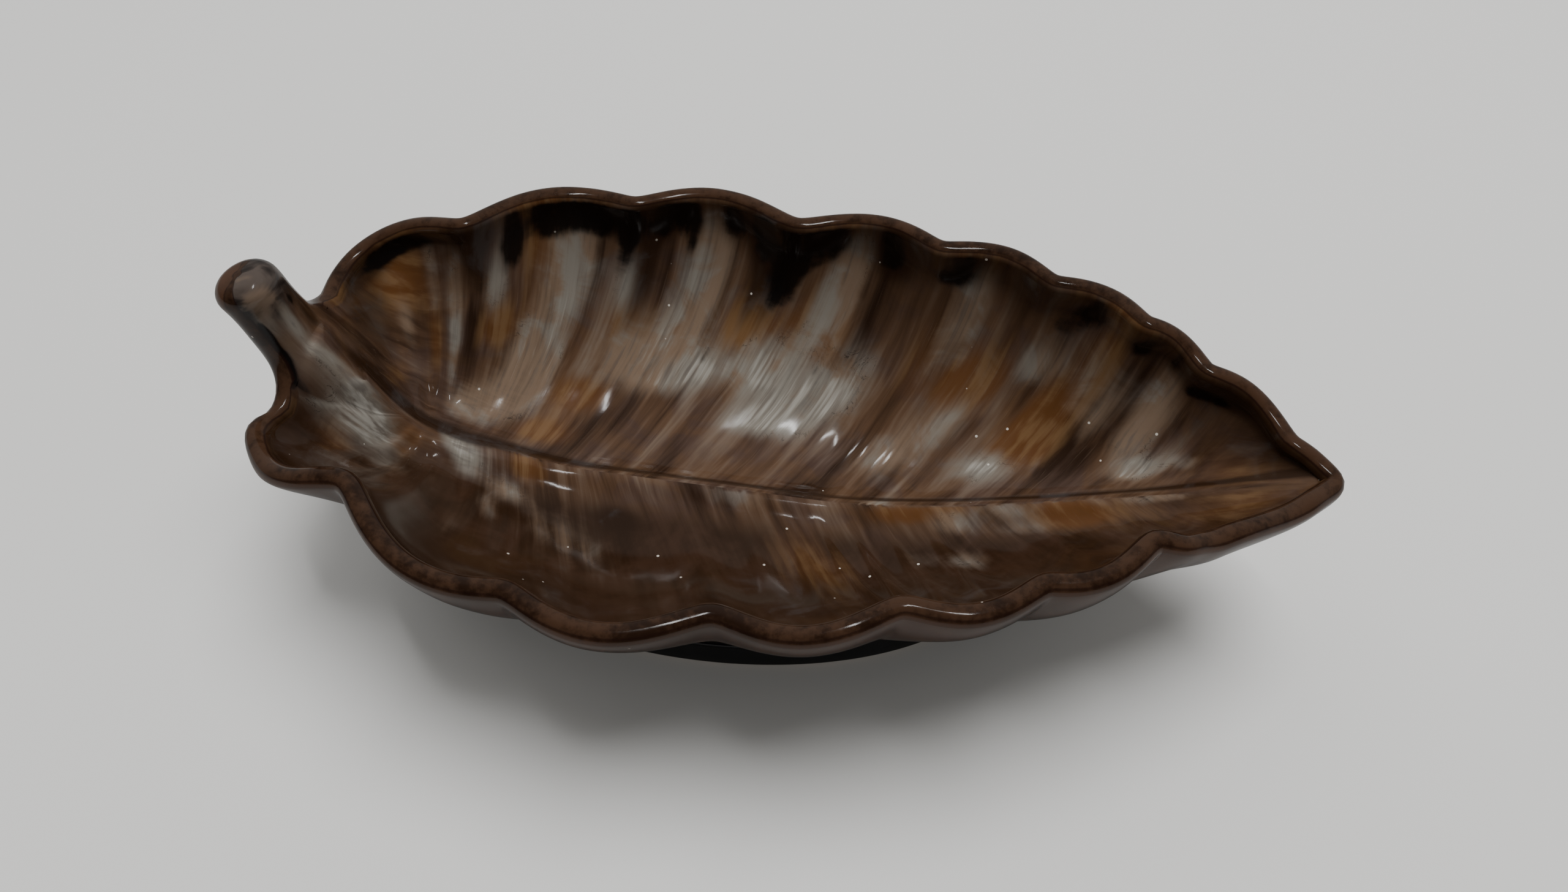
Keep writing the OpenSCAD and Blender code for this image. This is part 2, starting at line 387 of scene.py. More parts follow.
# How far the lip stands out at s: the hand-trimmed near side runs straight to the tip
hand = {
    "nearSide": False,
    "straightFrom": 6.15,
    "straightBulge": 0.8,
    "firstSwell": 1.4,
    "pushes": (                          # place, push, reach across and up: the notch and lobe by the stem
        ((-77.5, -8.6, 35.0), (4.0, 0.6, 0), 5.0, 4.5),
        ((-76.0, -15.5, 35.0), (-1.8, 0.7, 0), 4.5, 4.5),
    ),
}


def bulge(s):
    full = swell(s) * lobeWave(s)
    if hand["nearSide"] and lobeOf(s) == 0:
        return full * hand["firstSwell"] / leaf["firstSwell"]
    if not hand["nearSide"] or s < hand["straightFrom"]:
        return full
    straight = mix(hand["straightBulge"], full, ease(s - tipLobe))
    return mix(full, straight, ease((s - hand["straightFrom"]) / 0.6))


def baseNormal(s):
    c = clamp(s, 0.02, tipLobe + 0.9)
    along = (baseRim(c + 0.02) - baseRim(c - 0.02)).normalized()
    return Vector((-along.y, along.x)).lerp(Vector((1, 0)), ease(s - tipLobe)).normalized()


def lipMid(s):
    return baseRim(s) + baseNormal(s) * bulge(s)


def lipNormal(s):
    if s >= tipLobe + 0.99:
        return Vector((1, 0))
    along = (lipMid(s + 0.03) - lipMid(max(s - 0.03, 0))).normalized()
    return Vector((-along.y, along.x))


def jointPoint(s, way):
    turn = 90 * (s + 1)
    x = xAt(leaf["notchU"][0], 0) - leaf["jointBack"]
    x += way * (0.8 + s * 0.3 + (leaf["stemRadius"] - 0.5) * cosDeg(turn))
    return Vector((x, leaf["jointHalfWidth"] * sinDeg(turn), leaf["jointZ"]))


def ribLift(x, y):
    u = uAt(x, -lipRadius)
    root = math.exp(-(u / 0.14) ** 2)
    height = leaf["rib"] * (1 - 0.6 * ease((u - 0.75) / 0.25)) + leaf["ribRoot"] * root
    return height * math.exp(-(y / (2.4 + 3.8 * root)) ** 2)


def floorNormal(x):
    u = uAt(x, -lipRadius)
    slope = (floorHeight(u + 0.004) - floorHeight(u - 0.004)) / (0.008 * leaf["length"])
    return Vector((-slope, 0, 1)).normalized()


# One line from the midrib, over the lip and down to the foot: inside, lip, outside, belly
def insidePoint(s, b):
    rim = baseRim(s, -lipRadius)
    start = Vector((xAt(startU(s), -lipRadius), 0))
    p = start.lerp(rim, b)
    z = skinHeight(p.x, p.y, -lipRadius, 0)
    tilt = 70 * (1 - b) ** 0.8
    n = baseNormal(s)
    depth = bulge(s) * (leaf["fluteKeep"] * b + (1 - leaf["fluteKeep"]) * b ** 6)
    out = Vector((n.x * cosDeg(tilt), n.y * cosDeg(tilt), -sinDeg(tilt)))
    return Vector((p.x, p.y, z)) + depth * out + ribLift(p.x, p.y) * floorNormal(p.x)


def lipEdge(s, way):
    if s < 0:
        return jointPoint(s, -way)
    p = lipMid(s) + way * lipRadius * lipNormal(s)
    return Vector((p.x, p.y, rimHeight(rimU(s))))


def lipPoint(s, t):
    if s < 0:
        return lipEdge(s, -1).lerp(lipEdge(s, 1), t)
    across = (1 - cosDeg(180 * t)) / 2
    return lipEdge(s, -1).lerp(lipEdge(s, 1), across) + Vector((0, 0, lipRadius * sinDeg(180 * t)))


footMid = xAt(0.5, 0) - leaf["footBack"]


def footOval(s, inset):
    p = baseRim(s)
    a = leaf["footLength"] / 2 - inset
    b = leaf["footWidth"] / 2 - inset
    angle = math.atan2(p.y / b, (p.x - footMid) / a)
    return Vector((footMid + a * math.cos(angle), b * math.sin(angle)))


def outsidePoint(s, g):
    edge = lipEdge(s, 1)
    rim = baseRim(s, lipRadius)
    seat = footOval(s, 0)
    p = rim.lerp(seat, g)
    z = skinHeight(p.x, p.y, lipRadius, leaf["wall"])
    lift = edge.z - rimHeight(rimU(s))
    fade = (1 - g) ** (2.6 - 0.6 * max(s, 0) if s < 1 else 2)
    left = (rim - seat).length * (1 - g)
    root = 1 - math.sqrt(1 - (1 - left / leaf["footRoot"]) ** 2) if left < leaf["footRoot"] else 0
    p += (edge.xy - rim) * fade
    return Vector((p.x, p.y, mix(z + lift * (1 - g) ** 8, leaf["footZ"], root)))


def bellyPoint(s, k):
    middle = Vector((footMid, 0))
    p = middle.lerp(footOval(s, leaf["footWall"]), k)
    z = skinHeight(p.x, p.y, lipRadius, leaf["wall"])
    root = clamp((k - 0.84) / 0.16, 0, 1) ** 3
    return Vector((p.x, p.y, mix(z, leaf["footZ"], root)))


print("bowl and stem skin")
skin = {
    "rootColumns": 14,
    "lobeColumns": (32, 34, 36, 32, 26, 22, 18, 20, 12),
    "insideRows": 84,
    "lipRows": 20,
    "outsideRows": 52,
    "bellyRows": 18,
    "rootEnd": -0.12,        # s where the stem's side meets the lip
    "stemRings": 24,
    "roundRings": 8,
    "handWobble": 0.16,      # mm of unevenness left by hand finishing
    "fineFlute": 0.28,       # mm of the small flutes between the veins
    "rootReach": 12.5,       # mm round the joint that is smoothed
    "rootFade": 5.0,
    "rootRounds": 90,
    "tipReach": 6.0,         # the same at the tip
    "tipFade": 3.0,
    "tipRounds": 4,
}


# s of every column on one side, from under the stem to the tip
halfColumns = [-1 + (skin["rootEnd"] + 1) * i / skin["rootColumns"] for i in range(skin["rootColumns"] + 1)]
for lobe, count in enumerate(skin["lobeColumns"]):
    halfColumns += [lobe + i / count for i in range(count)]
halfColumns.append(tipLobe + 1)
halfCount = len(halfColumns) - 1

# The rows: which stretch of the line, and how far along it
skinRows = [("inside", 0.985 * (i / skin["insideRows"]) ** 0.9) for i in range(skin["insideRows"] + 1)]
skinRows += [("lip", i / skin["lipRows"]) for i in range(skin["lipRows"] + 1)]
skinRows += [("outside", (i / skin["outsideRows"]) ** 1.25) for i in range(1, skin["outsideRows"] + 1)]
skinRows += [("belly", 1 - i / skin["bellyRows"]) for i in range(skin["bellyRows"] + 1)]


def skinPoint(s, stretch, t):
    if stretch == "inside":
        ripple = sinDeg(360 * 3 * s + 80 * sinDeg(170 * s)) * max(0.45 + 0.6 * sinDeg(97 * s + 30), 0.1)
        ripple *= ease(t / 0.4) * ease((1 - t) / 0.3) * ease(s + 1) * ease((tipLobe - s) / 1.5)
        point = insidePoint(s, t) + Vector((0, 0, skin["fineFlute"] * ripple))
        if s < 0:
            short = lipEdge(s, -1) - insidePoint(s, 1)
            point += short * clamp((t - 0.4) / 0.6, 0, 1) ** 1.5 * ease(s / skin["rootEnd"])
        return point
    if stretch == "lip":
        return lipPoint(s, t)
    if stretch == "outside":
        return outsidePoint(s, t)
    return bellyPoint(s, t)


# Where the glazes lie: side of the midrib, s, share b of the way up, spread over s and b, strength
patches = {
    "amber": (
        (1, 0.15, 0.48, 0.15, 0.08, 0.4), (1, 0.25, 0.96, 0.12, 0.12, 0.4), (1, 0.45, 0.9, 0.16, 0.1, 0.7),
        (1, 0.65, 0.62, 0.07, 0.14, 0.6), (1, 1.2, 0.68, 0.1, 0.08, 0.9), (1, 1.45, 0.68, 0.06, 0.1, 0.5),
        (1, 1.5, 0.94, 0.16, 0.1, 0.8), (1, 1.9, 0.18, 0.22, 0.06, 0.8), (1, 2, 0.4, 0.2, 0.08, 0.9),
        (1, 2, 0.74, 0.12, 0.08, 0.5), (1, 2.4, 0.7, 0.14, 0.08, 0.8), (1, 2.85, 0.8, 0.12, 0.08, 0.8),
        (1, 3.1, 0.74, 0.12, 0.06, 0.7), (1, 3.35, 0.8, 0.16, 0.1, 1.1), (1, 4.2, 0.78, 0.12, 0.14, 0.5),
        (1, 4.65, 0.72, 0.18, 0.1, 1), (1, 4.9, 0.78, 0.12, 0.1, 0.6), (1, 5.6, 0.64, 0.22, 0.16, 1.1),
        (1, 5.6, 0.46, 0.2, 0.1, 0.8), (1, 5.85, 0.92, 0.16, 0.1, 0.6), (-1, 0.1, 0.68, 0.16, 0.1, 0.7),
        (-1, 0.35, 0.28, 0.16, 0.04, 0.6), (-1, 2, 0.06, 0.16, 0.05, 0.8), (-1, 3.95, 0.42, 0.2, 0.2, 0.6),
        (-1, 5.05, 0.06, 0.3, 0.05, 0.9), (-1, 5.55, 0.02, 0.2, 0.05, 0.4),
        (-1, 6.6, 0.14, 0.3, 0.12, 1.1), (1, 8.2, 0.5, 0.6, 0.4, 0.5), (-1, 8.1, 0.5, 0.7, 0.4, 0.5),
    ),
    "milk": (
        (1, 0.2, 0.82, 0.08, 0.08, 0.6), (1, 0.4, 0.74, 0.06, 0.12, 0.7), (1, 0.65, 0.9, 0.05, 0.12, 0.6),
        (1, 0.85, 0.72, 0.06, 0.22, 0.9), (1, 1.15, 0.84, 0.07, 0.08, 0.8), (1, 1.15, 0.28, 0.2, 0.1, 0.9),
        (1, 1.45, 0.52, 0.14, 0.12, 1), (1, 1.5, 0.32, 0.2, 0.1, 1), (1, 1.55, 0.76, 0.1, 0.16, 0.7),
        (1, 1.6, 0.5, 0.12, 0.08, 0.8), (1, 1.65, 0.9, 0.14, 0.16, 0.9), (1, 2, 0.86, 0.06, 0.06, 0.8),
        (1, 2.25, 0.6, 0.22, 0.1, 1.1), (1, 2.45, 0.8, 0.1, 0.16, 0.6), (1, 2.5, 0.9, 0.13, 0.14, 0.9),
        (1, 2.6, 0.58, 0.2, 0.09, 1), (1, 3.1, 0.66, 0.2, 0.09, 1.1), (1, 3.35, 0.88, 0.1, 0.12, 0.6),
        (1, 3.35, 0.42, 0.2, 0.06, 0.8), (1, 3.45, 0.94, 0.12, 0.13, 0.8), (1, 3.5, 0.52, 0.24, 0.12, 1),
        (1, 3.75, 0.66, 0.14, 0.12, 0.8), (1, 4.35, 0.9, 0.14, 0.14, 0.7),
        (1, 4.45, 0.36, 0.26, 0.12, 0.8), (1, 4.5, 0.94, 0.1, 0.1, 0.5), (1, 4.75, 0.56, 0.2, 0.1, 0.7),
        (1, 4.75, 0, 0.16, 0.05, 0.8), (1, 5.25, 0.86, 0.18, 0.07, 0.9), (1, 5.4, 0.34, 0.26, 0.09, 1),
        (1, 5.75, 0.82, 0.12, 0.1, 0.5), (1, 6.1, 0.74, 0.18, 0.14, 0.7), (1, 6.75, 0.84, 0.26, 0.14, 0.8),
        (1, 6.75, 0.58, 0.2, 0.12, 0.7), (1, 7, 0.38, 0.16, 0.08, 1.6), (1, 7.35, 0.52, 0.16, 0.08, 0.6),
        (-1, 0.45, 0.6, 0.3, 0.3, 0.25), (-1, 0.6, 0.46, 0.2, 0.06, 0.3), (-1, 1.15, 0.04, 0.14, 0.05, 0.8),
        (-1, 1.35, 0.12, 0.14, 0.07, 1.1), (-1, 1.4, 0.68, 0.05, 0.12, 0.4),
        (-1, 1.6, 0.34, 0.1, 0.08, 0.5), (-1, 1.8, 0.2, 0.14, 0.05, 0.9), (-1, 2.15, 0.34, 0.2, 0.1, 0.5),
        (-1, 2.4, 0.44, 0.1, 0.12, 0.4), (-1, 3.6, 0.04, 0.3, 0.05, 0.5),
        (-1, 4.85, 0.36, 0.12, 0.06, 0.3), (-1, 5.25, 0.42, 0.16, 0.07, 0.7),
        (-1, 5.35, 0.12, 0.2, 0.07, 0.7), (-1, 5.95, 0.06, 0.2, 0.07, 0.7),
        (-1, 5.95, 0.22, 0.2, 0.06, 0.5), (-1, 7.45, 0.04, 0.26, 0.08, 0.7),
    ),
    "pool": (
        (1, 0.1, 0.88, 0.08, 0.1, 0.5), (1, 0.35, 0.99, 0.12, 0.03, 0.6), (1, 0.5, 0.99, 0.3, 0.025, 1.2),
        (1, 1.05, 0.84, 0.04, 0.07, 0.8), (1, 1.25, 0.96, 0.07, 0.09, 1.2),
        (1, 1.45, 0.99, 0.12, 0.05, 1.4), (1, 1.65, 0.99, 0.14, 0.035, 1.4),
        (1, 1.7, 0.52, 0.08, 0.04, 0.5), (1, 1.8, 0.99, 0.08, 0.05, 1.2), (1, 1.95, 0.99, 0.08, 0.09, 1.4),
        (1, 2.2, 0.99, 0.16, 0.03, 1.4), (1, 2.3, 0.64, 0.03, 0.04, 0.6), (1, 2.35, 0.96, 0.05, 0.05, 1.2),
        (1, 2.6, 0.99, 0.12, 0.03, 1.3), (1, 2.7, 0.66, 0.04, 0.06, 0.9), (1, 2.8, 0.99, 0.07, 0.05, 1.1),
        (1, 3, 0.96, 0.16, 0.1, 1.5), (1, 3.25, 0.99, 0.18, 0.04, 1.4), (1, 3.25, 0.12, 0.3, 0.05, 0.5),
        (1, 3.5, 0.68, 0.04, 0.05, 0.6), (1, 3.7, 0.99, 0.12, 0.035, 1.3), (1, 4.2, 0.99, 0.24, 0.03, 1.1),
        (1, 4.6, 0.99, 0.1, 0.05, 0.6), (1, 5.25, 0.96, 0.24, 0.03, 0.8),
        (1, 5.5, 0.99, 0.2, 0.02, 0.9), (1, 6.15, 0.98, 0.18, 0.025, 1.1), (1, 6.65, 0.99, 0.14, 0.03, 1),
        (1, 7.05, 0.96, 0.2, 0.03, 1.2), (1, 7.35, 0.96, 0.16, 0.02, 1), (-1, 2.7, 0.2, 0.14, 0.05, 0.5),
        (-1, 3.6, 0.14, 0.3, 0.1, 0.5), (-1, 5.95, 0.3, 0.12, 0.04, 0.6),
    ),
    "dusk": (
        (1, 0.2, 0.85, 0.14, 0.25, 0.8), (1, 1, 0.96, 0.1, 0.12, 1), (1, 2.1, 0.92, 0.08, 0.16, 0.8),
        (1, 2.85, 0.92, 0.12, 0.14, 0.9), (1, 3.75, 0.92, 0.14, 0.14, 0.6),
        (1, 4.85, 0.92, 0.14, 0.12, 0.5), (1, 7.75, 0.88, 0.8, 0.3, 0.4), (1, 8.1, 0.99, 0.8, 0.4, 0.4),
        (-1, 8.1, 0.9, 0.8, 0.4, 0.4),
        (-1, 0.35, 0.92, 0.3, 0.12, 0.6), (-1, 1.1, 0.5, 0.14, 0.08, 0.6), (-1, 1.3, 0.99, 0.3, 0.25, 0.7),
        (-1, 1.95, 0.78, 0.5, 0.2, 0.7), (-1, 2.65, 0.24, 0.2, 0.08, 1), (-1, 3.65, 0.64, 0.8, 0.2, 0.6),
        (-1, 5, 0.72, 0.8, 0.2, 0.5), (-1, 5.95, 0.86, 0.6, 0.2, 0.6),
    ),
}


# Soft layers grow past their patches, pools keep their edges
layers = {"amber": (1.35, 1.25), "milk": (1.3, 1.0), "pool": (0.95, 0.85), "dusk": (1.2, 0.9)}


def zonesAt(side, s, b, x, y):
    sums = []
    for kind, (grow, weight) in layers.items():
        total = 0.0
        for patchSide, patchS, patchB, spreadS, spreadB, strength in patches[kind]:
            far = ((s - patchS) / (grow * spreadS)) ** 2 + ((b - patchB) / (grow * spreadB)) ** 2
            if patchSide == side and far < 9:
                total += weight * strength * math.exp(-far)
        sums.append(total)
    sums[3] += (0.4 if side == 1 else 0.3) * ease((b - 0.93) / 0.07) * ease(s / 0.3)
    # Painted shade: the groove beside the midrib is darkened in the dark layer, more towards the stem
    sums[3] += 1.2 * grooveShare(x, y) * mix(0.7, 1, ease((-30 - x) / 30)) * ease((x + 76) / 5)
    sums[0] += 0.8 * math.exp(-((x + 62.5) / 3.5) ** 2 - ((y + 3) / 2.5) ** 2)
    sums[1] += 1.5 * math.exp(-((x + 69) / 6) ** 2 - ((y + 4) / 3.5) ** 2)
    return [clamp(total, 0, 1) for total in sums]


# The midrib stands on the near side of a narrow groove
def grooveMiddle(x):
    return 1.5 - 1.1 * math.exp(-((x + 54) / 7) ** 2) + 0.7 * ease((-60 - x) / 8)


def grooveShare(x, y):
    return math.exp(-((y - grooveMiddle(x)) / mix(0.6, 1.4, ease((-20 - x) / 30))) ** 2)


def veinRelief(x, y):
    root = ease((-25 - x) / 30)
    crest = math.exp(-((y - grooveMiddle(x) + 3.4) / 2.2) ** 2)
    depth = mix(0.3, 0.8, root) * grooveShare(x, y) - mix(0.1, 0.7, root) * crest
    return -depth * ease((x + 76) / 8) * ease((66 - x) / 20)


jointMid = (jointPoint(-1, 1) + jointPoint(-1, -1)) / 2


def stemPoint(offset, t, radius, rise):
    lean = math.radians(leaf["stemLean"] * ease(1.6 * t))
    tilt = math.radians(leaf["stemLean"] * 0.7 * t)
    middle = jointMid + t * leaf["stemLength"] * Vector((-math.sin(tilt), 0, math.cos(tilt)))
    flat = offset.xy.lerp(radius * offset.xy.normalized(), ease(1.15 * t))
    across = Vector((math.cos(lean), 0, math.sin(lean)))
    up = Vector((-math.sin(lean), 0, math.cos(lean)))
    return middle + up * rise + across * flat.x + Vector((0, flat.y, 0))


# On the stem: degrees round from the leaf side, less than 0 towards the near side, share of the height,
# spread over both, strength
stemMarks = {
    "amber": ((-20, 0.15, 14, 0.3, 0.7),),
    "milk": ((-22, 0.5, 15, 0.42, 1.1), (-60, 0.8, 18, 0.3, 0.8), (-40, 1.02, 26, 0.12, 0.8),
             (-30, -0.05, 16, 0.2, 0.6), (-115, 0.2, 18, 0.4, 0.5), (120, 0.5, 30, 0.3, 0.5)),
    "pool": ((8, 0.72, 9, 0.1, 1.4), (-78, 0.3, 10, 0.35, 1.2), (-70, 0.62, 7, 0.2, 0.7),
             (170, 0.4, 20, 0.3, 0.8)),
    "dusk": ((30, 0.4, 22, 0.5, 0.9), (-90, 0.4, 20, 0.5, 0.9), (-130, 0.7, 20, 0.4, 0.7), (30, 1.1, 60, 0.2, 0.7)),
}


def stemZones(offset, t):
    turn = math.degrees(math.atan2(offset.y, offset.x))
    sums = []
    for kind in layers:
        total = 0.0
        for markTurn, markT, spreadTurn, spreadT, strength in stemMarks[kind]:
            away = (turn - markTurn + 180) % 360 - 180
            total += strength * math.exp(-(away / spreadTurn) ** 2 - ((t - markT) / spreadT) ** 2)
        sums.append(clamp(total, 0, 1))
    return sums


def buildSkin():
    bm = bmesh.new()
    rowCount = len(skinRows) - 1
    bmesh.ops.create_grid(bm, x_segments=2 * halfCount, y_segments=rowCount, size=0.5)
    uvLayer = bm.loops.layers.uv.new("glazeFlow")
    zoneLayer = bm.verts.layers.float_color.new("glazeZones")
    rowLayer = bm.verts.layers.float_color.new("glazeRows")
    rootLayer = bm.verts.layers.float_vector.new("rootOffset")
    flow = {}
    joint = []
    rimRun = [0.0]
    for before, after in zip(halfColumns, halfColumns[1:]):
        rimRun.append(rimRun[-1] + (baseRim(after) - baseRim(before)).length / 10)
    for vert in bm.verts:
        column = round((vert.co.x + 0.5) * 2 * halfCount)
        row = round((vert.co.y + 0.5) * rowCount)
        side = 1 if column <= halfCount else -1
        line = column if side == 1 else 2 * halfCount - column
        s = halfColumns[line]
        stretch, t = skinRows[row]
        hand["nearSide"] = side == -1
        point = skinPoint(s, stretch, t)
        rowAt = {"inside": (t, 0, 0), "lip": (1, t, 0), "outside": (1, 1, t), "belly": (1, 1, 1)}[stretch]
        reach = {"inside": (t - 1) * 4, "lip": t * 0.5, "outside": 0.5 + t * 4, "belly": 4.5 + (1 - t) * 3}[stretch]
        around = rimRun[line] if side == 1 else 2 * rimRun[-1] - rimRun[line]
        flow[vert] = (around, reach)
        vert[zoneLayer] = zonesAt(side, s, t if stretch == "inside" else 1.0, point.x, side * point.y)
        if stretch == "lip":
            ochre, pale, black, dark = vert[zoneLayer]
            vert[zoneLayer] = (ochre + 0.4, 0.3 * pale, black * (1 - 0.75 * ease(5 * t)), dark)
        calm = max(ease((0.6 - rowAt[0]) / 0.4) * ease((2 - s) / 1.2), ease((1.1 - s) / 0.8), 0.8 * ease((s - 7.2) / 0.8))
        if s < 0 and stretch in ("inside", "lip"):
            rowAt = (rowAt[0] * mix(0.9, 1, ease((s + 0.25) / 0.25)), *rowAt[1:])
            edge = lipEdge(s, 2 * rowAt[1] - 1) - jointMid
            low = stemZones(Vector((edge.x, side * edge.y, 0)), min((point.z - leaf["jointZ"]) / leaf["stemLength"], 0))
            share = ease((t - 0.6) / 0.35) if stretch == "inside" else 1
            vert[zoneLayer] = [mix(one, other, share) for one, other in zip(vert[zoneLayer], low)]
        vert[rowLayer] = (*rowAt, calm)
        vert.co = Vector((point.x, side * point.y, point.z))
        if stretch == "inside":
            vert.co += veinRelief(point.x, side * point.y) * floorNormal(point.x)
        if s <= skin["rootEnd"] and stretch == "lip":
            onEdge = t in (0, 1) or line == skin["rootColumns"]
            joint.append((vert, onEdge))
            vert[rootLayer] = vert.co - jointMid
    for face in bm.faces:
        for loop in face.loops:
            loop[uvLayer].uv = flow[loop.vert]
    bmesh.ops.delete(bm, geom=[vert for vert, onEdge in joint if not onEdge], context="VERTS")
    return bm, [vert for vert, onEdge in joint if onEdge]


def weld(bm):
    bmesh.ops.remove_doubles(bm, verts=bm.verts[:], dist=1e-4)
    bmesh.ops.dissolve_degenerate(bm, edges=bm.edges[:], dist=1e-5)


def growStem(bm):
    rootLayer = bm.verts.layers.float_vector["rootOffset"]
    zoneLayer = bm.verts.layers.float_color["glazeZones"]
    rowLayer = bm.verts.layers.float_color["glazeRows"]
    partLayer = bm.faces.layers.int.new("part")
    for face in bm.faces:
        face[partLayer] = 0
    ring = [edge for edge in bm.edges if edge.is_boundary]
    print("joint ring edges", len(ring))
    steps = [(i / skin["stemRings"], leaf["stemRadius"], 0.0) for i in range(1, skin["stemRings"] + 1)]
    for i in range(1, skin["roundRings"] + 1):
        angle = 90 * i / skin["roundRings"]
        inset = leaf["stemRound"] * (1 - cosDeg(angle))
        steps.append((1.0, leaf["stemRadius"] - inset, leaf["stemRound"] * sinDeg(angle)))
    for t, radius, rise in steps:
        made = bmesh.ops.extrude_edge_only(bm, edges=ring)["geom"]
        for vert in (item for item in made if isinstance(item, bmesh.types.BMVert)):
            vert[zoneLayer] = stemZones(vert[rootLayer], t + rise / leaf["stemLength"])
            behind = ease(0.5 - 0.9 * vert[rootLayer].normalized().x)
            vert[rowLayer] = (mix(0.9, 1, behind), behind, 0, 1)
            vert.co = stemPoint(vert[rootLayer], t, radius, rise)
        for face in (item for item in made if isinstance(item, bmesh.types.BMFace)):
            face[partLayer] = 1
        ring = [item for item in made if isinstance(item, bmesh.types.BMEdge) and item.is_boundary]
    cap = bmesh.ops.edgeloop_fill(bm, edges=ring)["faces"]
    for face in bmesh.ops.inset_region(bm, faces=cap, thickness=0.9, depth=0.12, use_even_offset=False)["faces"]:
        face[partLayer] = 1
    for face in cap:
        face[partLayer] = 1
    for face in bmesh.ops.poke(bm, faces=cap)["faces"]:
        face[partLayer] = 1


# The dish is pushed in by hand beside the stem
def handShape(bm):
    for place, push, reach, tall in hand["pushes"]:
        for vert in bm.verts:
            away = vert.co - Vector(place)
            vert.co += Vector(push) * math.exp(-(away.xy.length / reach) ** 2 - (away.z / tall) ** 2)


# The joined skin is smoothed where the stem grows out of the leaf, less and less with distance,
# then cut at the joint face
def soften(bm, middle, reach, fade, rounds):
    near = []
    for vert in bm.verts:
        share = ease((reach - (vert.co - middle).length) / fade)
        if share > 0:
            near.append((vert, share, [edge.other_vert(vert) for edge in vert.link_edges]))
    for step in range(rounds):
        means = [sum((other.co for other in around), Vector()) / len(around) for vert, share, around in near]
        for (vert, share, around), mean in zip(near, means):
            vert.co = vert.co.lerp(mean, 0.5 * share)


def wobble(bm):
    rowLayer = bm.verts.layers.float_color["glazeRows"]
    bm.normal_update()
    for vert in bm.verts:
        slow = noise.noise(vert.co * 0.055 + Vector((3, 1, 7)))
        quick = noise.noise(vert.co * 0.16)
        low = ease((vert.co.z - leaf["footZ"]) / 4)
        vert.co += vert.normal * skin["handWobble"] * low * (0.8 * slow + 0.35 * quick)


def cutPart(bm, part, name, node):
    piece = bm.copy()
    partLayer = piece.faces.layers.int["part"]
    other = [face for face in piece.faces if face[partLayer] != part]
    bmesh.ops.delete(piece, geom=other, context="FACES")
    bmesh.ops.holes_fill(piece, edges=[edge for edge in piece.edges if edge.is_boundary], sides=0)
    mesh = bpy.data.meshes.new(name)
    piece.to_mesh(mesh)
    piece.free()
    for face in mesh.polygons:
        face.use_smooth = True
    normals = [entry.vector.copy() for entry in mesh.attributes["skinNormal"].data]
    mesh.normals_split_custom_set_from_vertices(normals)
    for spare in ("skinNormal", "rootOffset", "part"):
        mesh.attributes.remove(mesh.attributes[spare])
    thing = bpy.data.objects.new(name, mesh)
    bpy.context.scene.collection.objects.link(thing)
    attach(thing, "root")
    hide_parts(node)
    return thing


frameShift = Vector((leaf["frameMiddle"], 0, 0))


def toFrame(bm):
    for vert in bm.verts:
        vert.co = (vert.co - frameShift) * mm


skinMesh, _ = buildSkin()
weld(skinMesh)
growStem(skinMesh)
weld(skinMesh)
handShape(skinMesh)
soften(skinMesh, jointMid, skin["rootReach"], skin["rootFade"], skin["rootRounds"])
tipMiddle = lipMid(tipLobe + 1)
soften(skinMesh, Vector((tipMiddle.x, 0, rimHeight(1))), skin["tipReach"], skin["tipFade"], skin["tipRounds"])
wobble(skinMesh)
bmesh.ops.recalc_face_normals(skinMesh, faces=skinMesh.faces[:])
toFrame(skinMesh)
skinMesh.normal_update()
normalLayer = skinMesh.verts.layers.float_vector.new("skinNormal")
for vert in skinMesh.verts:
    vert[normalLayer] = vert.normal
print("skin faces", len(skinMesh.faces), "open edges", sum(edge.is_boundary for edge in skinMesh.edges))
leafPiece = cutPart(skinMesh, 0, "glazedLeaf", "leaf_bowl")
stemPiece = cutPart(skinMesh, 1, "glazedStem", "stem_handle")
skinMesh.free()

print("foot ring")
foot = {
    "columns": 240,
    "edgeRound": 0.9,   # mm, glaze rounded off above the wiped edge
    "profileRows": 40,
}


def footProfile():
    low, high, wall = leaf["wipedZ"], leaf["footZ"], leaf["footWall"]
    inset, r = leaf["wipedInset"], foot["edgeRound"]
    line = [(wall - inset - 0.2, 0.0), (inset + 0.2, 0.0), (inset, 0.15), (inset, low - 0.1)]
    line += [(inset - (inset) * math.sin(a), low + r - r * math.cos(a)) for a in
             (math.radians(15 * i) for i in range(1, 7))]
    line += [(0.0, z) for z in (3.5, 5.2, 6.6, high)]
    back = [(wall - inset, 0.15), (wall - inset, low - 0.1)]
    back += [(wall - inset + inset * math.sin(a), low + r - r * math.cos(a)) for a in
             (math.radians(15 * i) for i in range(1, 7))]
    back += [(wall, z) for z in (3.5, 5.2, 6.6, high)]
    return line + back[::-1]


